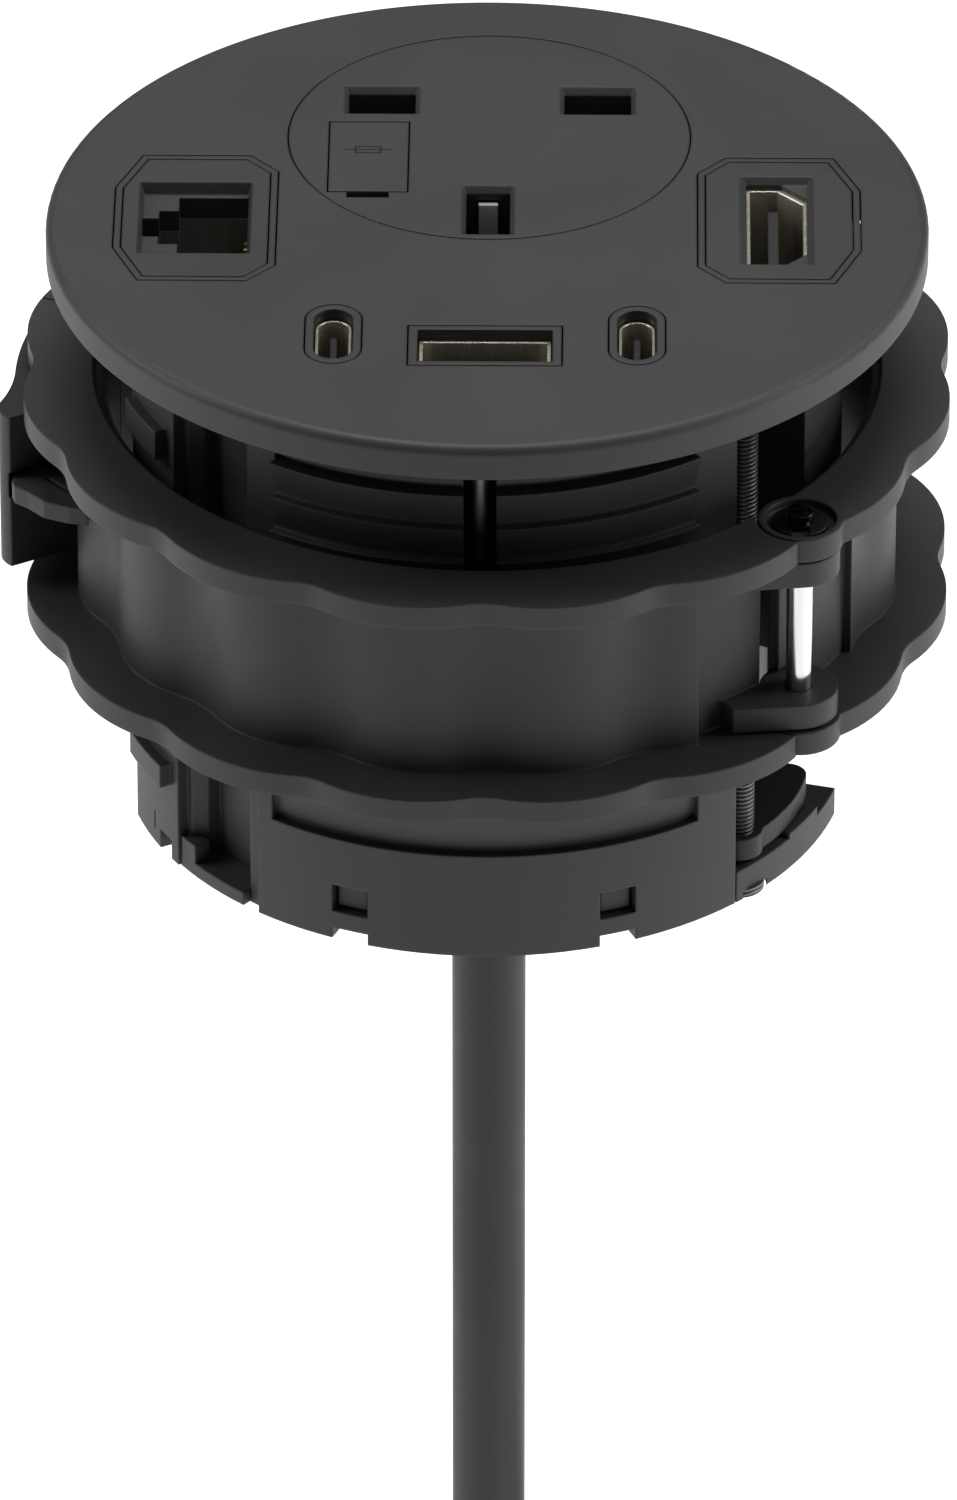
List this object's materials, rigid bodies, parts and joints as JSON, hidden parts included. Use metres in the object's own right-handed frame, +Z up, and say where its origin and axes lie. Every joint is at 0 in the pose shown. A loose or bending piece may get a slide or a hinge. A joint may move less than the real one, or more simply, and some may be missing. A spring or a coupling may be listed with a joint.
{
  "type": "in-desk power module",
  "caption": "Round in-desk power module with a fused mains socket, data and charging ports, a hinged split clamp collar and a hanging mains lead.",
  "frame": {"origin": "On the module's axis, in the plane of the bezel's underside, where it rests on the desk top.", "axes": "+Z up out of the desk, -Y towards the side with the charging ports, +X to the side with the display port."},
  "size_m": [0.1461, 0.0946, 0.3236],
  "materials": {
    "black_moulding": "fine spark-eroded texture",
    "black_frame": "fine spark-eroded texture",
    "dark_insert": "smooth moulded",
    "grey_shutter": "smooth moulded",
    "port_metal": "rolled and nickel plated",
    "chrome_pin": "polished",
    "dark_steel": "blackened",
    "brass_part": "stamped",
    "spring_steel": "drawn wire",
    "ceramic": "glazed",
    "board": "lacquered board",
    "core_iron": "laminated",
    "can_metal": "drawn can",
    "white_block": "moulded",
    "cable_sheath": "extruded",
    "gland_rubber": "moulded",
    "brown_core": "extruded",
    "blue_core": "extruded",
    "green_yellow_core": "extruded",
    "tie_band": "moulded"
  },
  "bodies": {
    "module": {"bezel": "black_moulding", "socket_insert": "black_moulding", "socket_base": "dark_insert", "shutter_spring": "spring_steel", "live_contact": "brass_part", "neutral_contact": "brass_part", "earth_contact": "brass_part", "fuse_strip": "brass_part", "left_data_frame": "black_frame", "rj45_insert": "black_frame", "rj45_jack": "dark_insert", "rj45_contacts": "brass_part", "right_data_frame": "black_frame", "hdmi_insert": "black_frame", "hdmi_shell": "port_metal", "hdmi_tongue": "dark_insert", "usb_a_frame": "black_frame", "usb_a_shell": "port_metal", "usb_a_tongue": "dark_insert", "usb_c_frames": "black_frame", "usb_c_shells": "port_metal", "usb_c_tongues": "dark_insert", "charger_housing": "dark_insert", "port_board": "board", "chassis": "black_moulding", "base_cover": "black_moulding", "tie_rod": "dark_steel", "bezel_screws": "dark_steel", "terminal_block": "white_block", "terminal_screws": "dark_steel", "live_wire": "brown_core", "earth_wire": "green_yellow_core", "neutral_wire": "blue_core", "power_board": "board", "transformer": "core_iron", "capacitor": "can_metal", "cable_gland": "gland_rubber", "mains_cable": "cable_sheath", "cable_coil": "cable_sheath", "cable_tail": "cable_sheath", "coil_tie": "tie_band", "connector_body": "dark_insert", "connector_pins": "brass_part"},
    "collar": {"collar_rear_half": "black_moulding", "hinge_pin": "chrome_pin", "hinge_clip": "dark_steel", "latch_pin": "dark_steel"},
    "collar_gate": {"collar_front_half": "black_moulding"},
    "latch": {"latch_lever": "black_moulding"},
    "shutter": {"socket_shutter": "grey_shutter"},
    "fuse_carrier": {"fuse_drawer": "black_moulding", "fuse_cartridge": "ceramic"},
    "screw_right": {"clamp_screw_right": "dark_steel"},
    "nut_right": {"clamp_nut_right": "brass_part"},
    "wing_right": {"clamp_wing_right": "black_moulding"},
    "screw_left": {"clamp_screw_left": "dark_steel"},
    "nut_left": {"clamp_nut_left": "brass_part"},
    "wing_left": {"clamp_wing_left": "black_moulding"}
  },
  "joints": [
    {"name": "collar_travel", "type": "slide", "parent": "module", "child": "collar", "axis": [0, 0, 1], "range_m": [-0.012, 0.012]},
    {"name": "latch_turn", "type": "hinge", "parent": "collar", "child": "latch", "pos_m": [-0.03991, 0.02122, -0.0249], "axis": [0, 0, -1], "range_deg": [0, 100]},
    {"name": "collar_opening", "type": "hinge", "parent": "collar", "child": "collar_gate", "pos_m": [0.03191, -0.03001, -0.0249], "axis": [0, 0, 1], "range_deg": [0, 50]},
    {"name": "shutter_slide", "type": "slide", "parent": "module", "child": "shutter", "axis": [0, 1, 0], "range_m": [0, 0.005], "stiffness_N_per_m": 200, "springref_m": -0.002, "deforming": ["shutter_spring"]},
    {"name": "fuse_drawer_pull", "type": "slide", "parent": "module", "child": "fuse_carrier", "axis": [0, 0, 1], "range_m": [0, 0.024]},
    {"name": "screw_turn_right", "type": "hinge", "parent": "module", "child": "screw_right", "pos_m": [0.0261, -0.0236, -0.056], "axis": [0, 0, -1], "range_deg": [0, 10080]},
    {"name": "nut_climb_right", "type": "slide", "parent": "module", "child": "nut_right", "axis": [0, 0, 1], "range_m": [0, 0.014]},
    {"name": "wing_swing_right", "type": "hinge", "parent": "nut_right", "child": "wing_right", "pos_m": [0.0261, -0.0236, -0.056], "axis": [0, 0, -1], "range_deg": [0, 95]},
    {"name": "screw_turn_left", "type": "hinge", "parent": "module", "child": "screw_left", "pos_m": [-0.0261, 0.0236, -0.056], "axis": [0, 0, -1], "range_deg": [0, 10080]},
    {"name": "nut_climb_left", "type": "slide", "parent": "module", "child": "nut_left", "axis": [0, 0, 1], "range_m": [0, 0.014]},
    {"name": "wing_swing_left", "type": "hinge", "parent": "nut_left", "child": "wing_left", "pos_m": [-0.0261, 0.0236, -0.056], "axis": [0, 0, -1], "range_deg": [0, 95]}
  ],
  "couplings": [
    {"joint": "collar_opening", "follows": "latch_turn", "ratio": 0.5},
    {"joint": "screw_turn_right", "follows": "nut_climb_right", "rad_per_m": 12566},
    {"joint": "screw_turn_left", "follows": "nut_climb_left", "rad_per_m": 12566}
  ]
}
